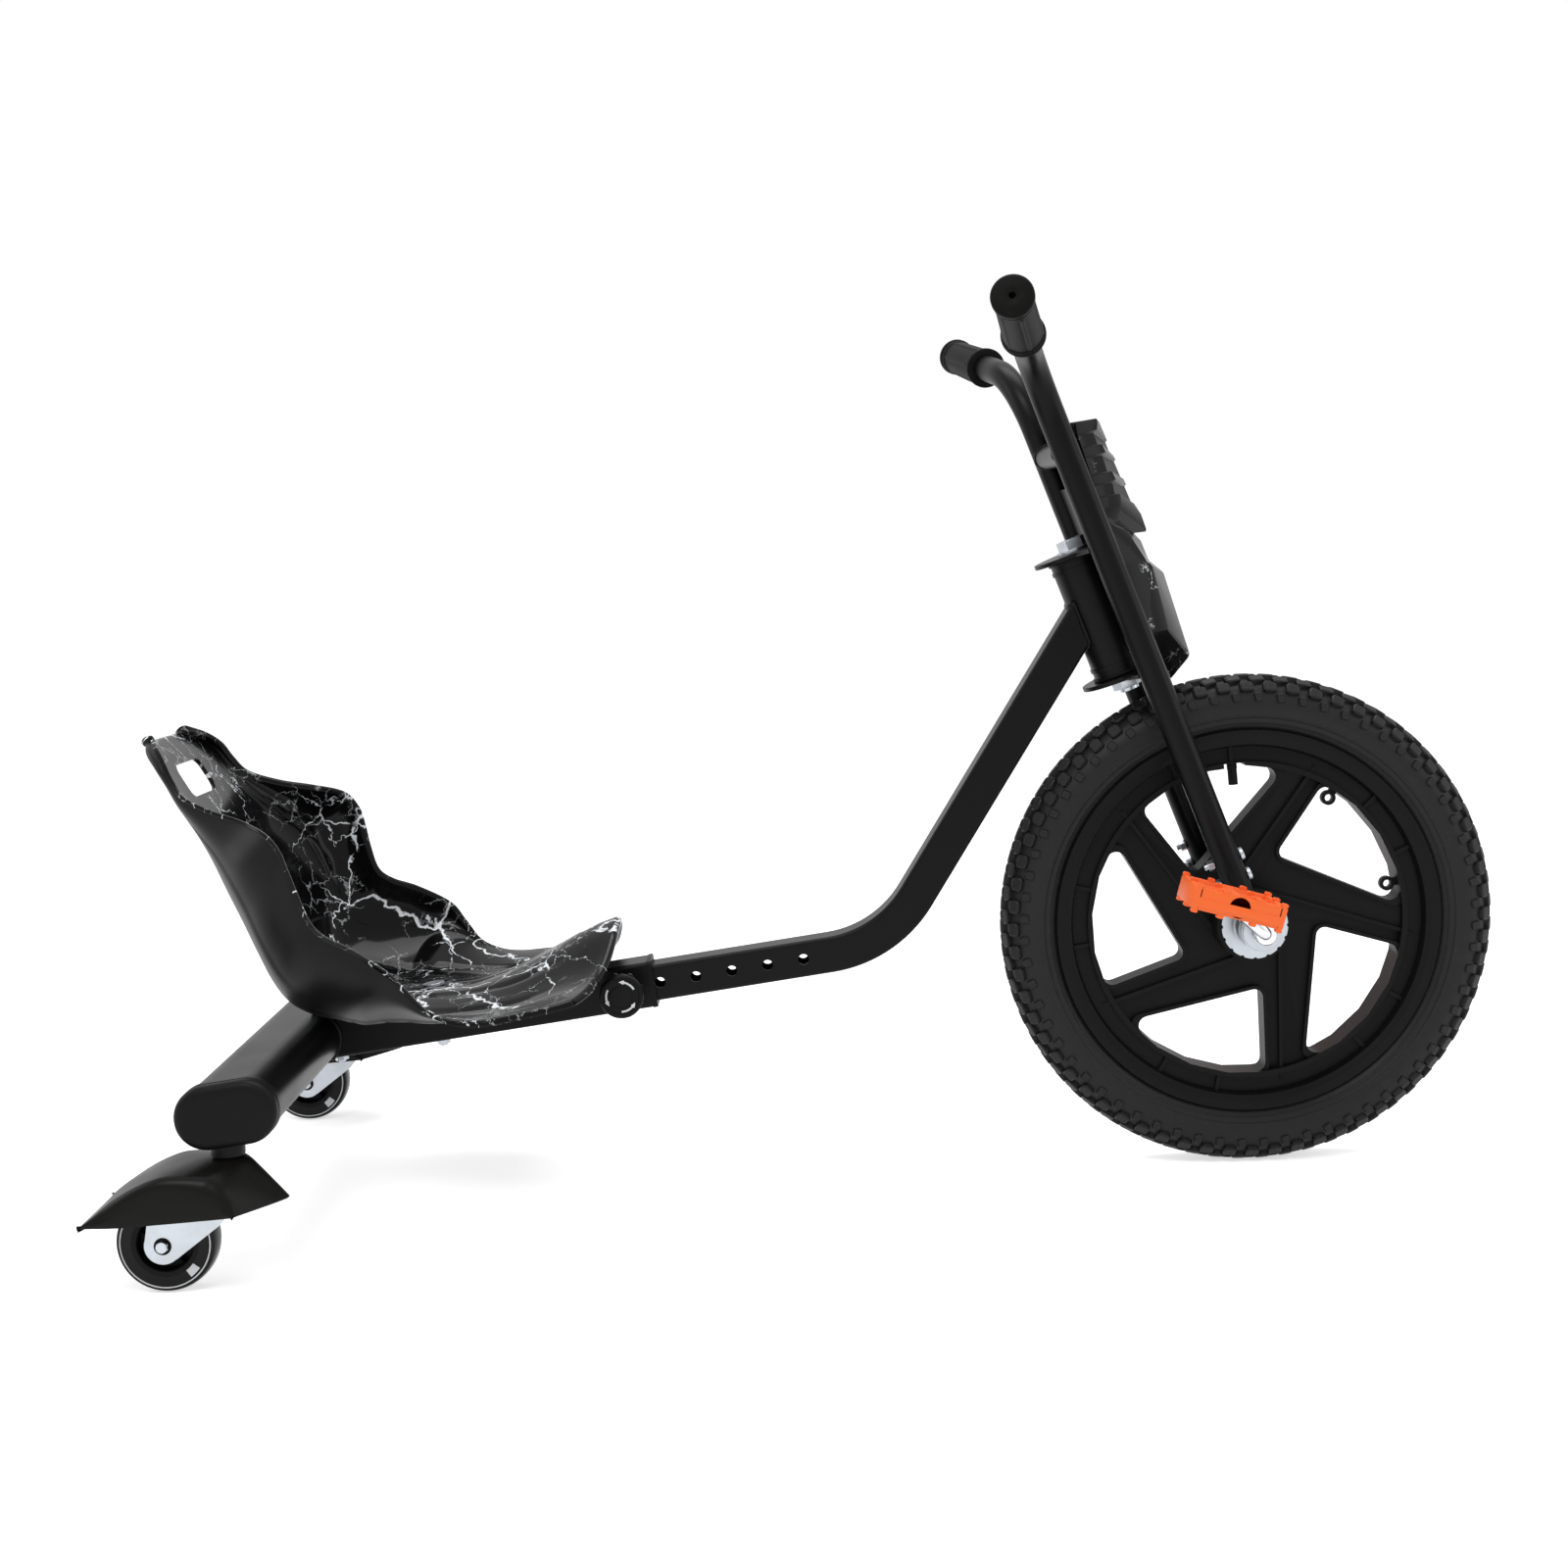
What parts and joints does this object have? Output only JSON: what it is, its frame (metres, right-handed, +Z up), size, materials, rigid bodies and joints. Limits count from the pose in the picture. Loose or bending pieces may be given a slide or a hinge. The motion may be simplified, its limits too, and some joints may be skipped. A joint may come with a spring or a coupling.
{
  "type": "drift trike",
  "caption": "Pedal drift trike with a large front wheel, a bucket seat, swivelling rear casters under fenders and a sliding frame locked by a knob.",
  "frame": {"origin": "on the ground under the middle of the trike's bounding box", "axes": "+X points forward, +Y to the rider's left, +Z up"},
  "size_m": [1.0968, 0.564, 0.706],
  "materials": {
    "frame_paint": "gloss powder coat",
    "zinc": "bright zinc plate",
    "steel_crank": "bright plated bar",
    "black_plastic": "fine satin moulding",
    "grip_rubber": "ribbed, soft and dull",
    "wheel_plastic": "satin moulding",
    "tyre_rubber": "dull, knobbed tread",
    "seat_plastic": "gloss with pale branching veins",
    "panel_plastic": "gloss with pale branching veins",
    "pedal_plastic": "plain orange moulding",
    "caster_tread": "hard and smooth"
  },
  "bodies": {
    "rear_frame": {"rear_tube": "frame_paint", "tube_collar": "black_plastic", "axle_beam": "frame_paint", "beam_cap_left": "black_plastic", "beam_cap_right": "black_plastic", "post_left": "frame_paint", "post_right": "frame_paint", "post_bush_left": "black_plastic", "post_bush_right": "black_plastic", "lock_bush": "zinc", "seat_spacer": "black_plastic", "seat_shell": "seat_plastic", "seat_bolts": "zinc"},
    "front_frame": {"main_tube": "frame_paint", "tube_plug": "black_plastic", "head_tube": "frame_paint", "head_bushes": "black_plastic"},
    "lock_pin": {"lock_pin": "zinc"},
    "lock_knob": {"lock_knob": "black_plastic"},
    "fork": {"leg_left": "frame_paint", "leg_right": "frame_paint", "grip_left": "grip_rubber", "grip_right": "grip_rubber", "cross_tube": "frame_paint", "top_plate": "frame_paint", "bottom_plate": "frame_paint", "steering_pin": "zinc", "steering_nut": "zinc", "panel_bracket": "frame_paint", "front_panel": "panel_plastic", "panel_screws": "zinc", "axle_bracket_left": "zinc", "axle_bracket_right": "zinc", "bracket_bolts": "zinc", "axle_bearings": "zinc"},
    "front_wheel": {"rim": "wheel_plastic", "tyre": "tyre_rubber", "valve_stem": "black_plastic", "hub_plates": "zinc", "crank_axle": "zinc", "crank_left": "steel_crank", "crank_right": "steel_crank"},
    "pedal_left": {"pedal_left": "pedal_plastic"},
    "pedal_right": {"pedal_right": "pedal_plastic"},
    "caster_left": {"fender_left": "black_plastic", "caster_fork_left": "zinc", "swivel_bolt_left": "zinc", "wheel_bolt_left": "zinc"},
    "caster_right": {"fender_right": "black_plastic", "caster_fork_right": "zinc", "swivel_bolt_right": "zinc", "wheel_bolt_right": "zinc"},
    "caster_wheel_left": {"caster_core_left": "black_plastic", "caster_tyre_left": "caster_tread"},
    "caster_wheel_right": {"caster_core_right": "black_plastic", "caster_tyre_right": "caster_tread"}
  },
  "joints": [
    {"name": "length_adjust", "type": "slide", "parent": "rear_frame", "child": "front_frame", "axis": [0.9921, 0, 0.1253], "range_m": [-0.12, 0]},
    {"name": "steering", "type": "hinge", "parent": "front_frame", "child": "fork", "pos_m": [0.2338, 0, 0.45], "axis": [-0.3486, 0, 0.9373], "range_deg": [-45, 45]},
    {"name": "wheel_spin", "type": "hinge", "parent": "fork", "child": "front_wheel", "pos_m": [0.3454, 0, 0.203], "axis": [0, 1, 0], "continuous": true},
    {"name": "pedal_spin_left", "type": "hinge", "parent": "front_wheel", "child": "pedal_left", "pos_m": [0.38928, 0.16, 0.16208], "axis": [0, 1, 0], "continuous": true},
    {"name": "pedal_spin_right", "type": "hinge", "parent": "front_wheel", "child": "pedal_right", "pos_m": [0.30152, -0.16, 0.24392], "axis": [0, 1, 0], "continuous": true},
    {"name": "lock_push", "type": "slide", "parent": "rear_frame", "child": "lock_pin", "axis": [0, 1, 0], "range_m": [0, 0.009]},
    {"name": "knob_turn", "type": "hinge", "parent": "lock_pin", "child": "lock_knob", "pos_m": [-0.1706, -0.045, 0.1651], "axis": [0, -1, 0], "range_deg": [0, 360]},
    {"name": "caster_swivel_left", "type": "hinge", "parent": "rear_frame", "child": "caster_left", "pos_m": [-0.4446, 0.24, 0.12], "axis": [0, 0, 1], "continuous": true},
    {"name": "caster_roll_left", "type": "hinge", "parent": "caster_left", "child": "caster_wheel_left", "pos_m": [-0.4916, 0.24, 0.037], "axis": [0, 1, 0], "continuous": true},
    {"name": "caster_swivel_right", "type": "hinge", "parent": "rear_frame", "child": "caster_right", "pos_m": [-0.4446, -0.24, 0.12], "axis": [0, 0, 1], "continuous": true},
    {"name": "caster_roll_right", "type": "hinge", "parent": "caster_right", "child": "caster_wheel_right", "pos_m": [-0.4916, -0.24, 0.037], "axis": [0, 1, 0], "continuous": true}
  ]
}
